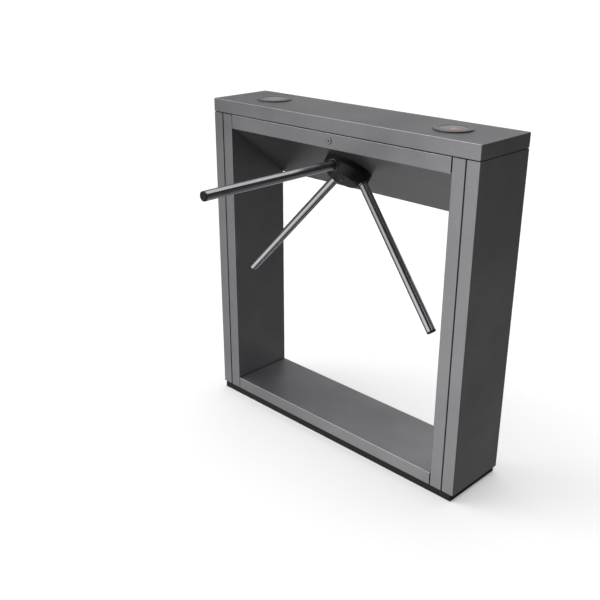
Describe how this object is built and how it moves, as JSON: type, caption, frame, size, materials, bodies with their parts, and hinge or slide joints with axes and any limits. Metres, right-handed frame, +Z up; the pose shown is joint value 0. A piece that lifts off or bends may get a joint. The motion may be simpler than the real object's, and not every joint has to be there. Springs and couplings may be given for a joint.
{
  "type": "visitor counter turnstile",
  "caption": "Waist-high tripod turnstile in a slim rectangular metal gate frame, with a tilted hub carrying straight tubular arms, a hinged top lid and round reader discs.",
  "frame": {"origin": "centre of the cabinet's footprint, on the floor plane under the base plate", "axes": "+Z up; -Y is the front, the side the horizontal arm reaches out of; +X runs along the cabinet's length to the right as seen from the front"},
  "size_m": [0.972, 0.667, 1.0043],
  "materials": {
    "cabinet_steel": "satin",
    "base_black": "matte",
    "hub_black": "satin",
    "gloss_black": "gloss",
    "cap_black": "satin",
    "black_plastic": "matte",
    "arm_chrome": "polished",
    "lock_chrome": "polished",
    "machined_steel": "machined",
    "zinc_plate": "zinc plated",
    "bezel_grey": "satin",
    "lens_grey": "frosted gloss",
    "lens_red": "frosted gloss with a small red mark",
    "board_green": "solder mask",
    "gear_brass": "machined"
  },
  "bodies": {
    "cabinet": {"plinth": "base_black", "lower_beam": "cabinet_steel", "post_left_outer": "cabinet_steel", "post_left_inner": "cabinet_steel", "post_right_outer": "cabinet_steel", "post_right_inner": "cabinet_steel", "fascia": "cabinet_steel", "slope_panel": "cabinet_steel", "rear_panel": "cabinet_steel", "hinge_leaf_fixed": "machined_steel", "hinge_pin": "machined_steel", "lock_body": "lock_chrome", "rail_front": "zinc_plate", "rail_rear": "zinc_plate", "mech_plate": "zinc_plate", "hub_flange": "hub_black", "bearing_front": "machined_steel", "bearing_rear": "machined_steel", "count_sensor": "black_plastic", "solenoid_left": "zinc_plate", "solenoid_right": "zinc_plate", "damper_body": "black_plastic", "control_board": "board_green", "power_supply": "zinc_plate"},
    "lid": {"lid": "cabinet_steel", "hinge_leaf_lid": "machined_steel", "lid_catch": "zinc_plate", "reader_bezel_left": "bezel_grey", "reader_bezel_right": "bezel_grey", "reader_lens_left": "lens_grey", "reader_lens_right": "lens_red", "reader_housing_left": "black_plastic", "reader_housing_right": "black_plastic"},
    "rotor": {"shaft": "machined_steel", "hub_body": "hub_black", "hub_band": "gloss_black", "hub_screw": "lock_chrome", "arm_1": "arm_chrome", "arm_2": "arm_chrome", "arm_3": "arm_chrome", "arm_cap_1": "cap_black", "arm_cap_2": "cap_black", "arm_cap_3": "cap_black", "arm_collar_1": "arm_chrome", "arm_collar_2": "arm_chrome", "arm_collar_3": "arm_chrome", "drive_gear": "machined_steel", "index_cam": "machined_steel", "lock_wheel": "machined_steel", "encoder_disc": "black_plastic"},
    "damper_pinion_body": {"damper_pinion": "gear_brass"},
    "index_arm": {"index_lever": "machined_steel"},
    "index_wheel": {"index_roller": "machined_steel"},
    "lock_bolt_left": {"bolt_left": "machined_steel"},
    "lock_bolt_right": {"bolt_right": "machined_steel"},
    "key_lock": {"lock_plug": "machined_steel", "lock_cam": "zinc_plate"}
  },
  "joints": [
    {"name": "rotor_spin", "type": "hinge", "parent": "cabinet", "child": "rotor", "pos_m": [0, -0.0107, 0.86819], "axis": [0, 0.6441, 0.7649], "continuous": true},
    {"name": "damper_spin", "type": "hinge", "parent": "cabinet", "child": "damper_pinion_body", "pos_m": [0.04596, -0.02635, 0.90948], "axis": [0, 0.6441, 0.7649], "continuous": true},
    {"name": "index_lever_swing", "type": "hinge", "parent": "cabinet", "child": "index_arm", "pos_m": [-0.062, 0.05311, 0.8508], "axis": [0, 0.6441, 0.7649], "range_deg": [0, 8], "stiffness_Nm_per_rad": 0.5, "springref_deg": -8.59},
    {"name": "index_roller_spin", "type": "hinge", "parent": "index_arm", "child": "index_wheel", "pos_m": [0, 0.05289, 0.85909], "axis": [0, 0.6441, 0.7649], "continuous": true},
    {"name": "bolt_left_slide", "type": "slide", "parent": "cabinet", "child": "lock_bolt_left", "axis": [1, 0, 0], "range_m": [0, 0.0068], "stiffness_N_per_m": 150, "springref_m": -0.008},
    {"name": "bolt_right_slide", "type": "slide", "parent": "cabinet", "child": "lock_bolt_right", "axis": [-1, 0, 0], "range_m": [0, 0.0068], "stiffness_N_per_m": 150, "springref_m": -0.008},
    {"name": "lid_open", "type": "hinge", "parent": "cabinet", "child": "lid", "pos_m": [0, 0.1128, 0.9592], "axis": [-1, 0, 0], "range_deg": [0, 80]},
    {"name": "lock_turn", "type": "hinge", "parent": "cabinet", "child": "key_lock", "pos_m": [0, -0.1085, 0.938], "axis": [0, 1, 0], "range_deg": [0, 90]}
  ],
  "couplings": [
    {"joint": "damper_spin", "follows": "rotor_spin", "ratio": -3}
  ]
}
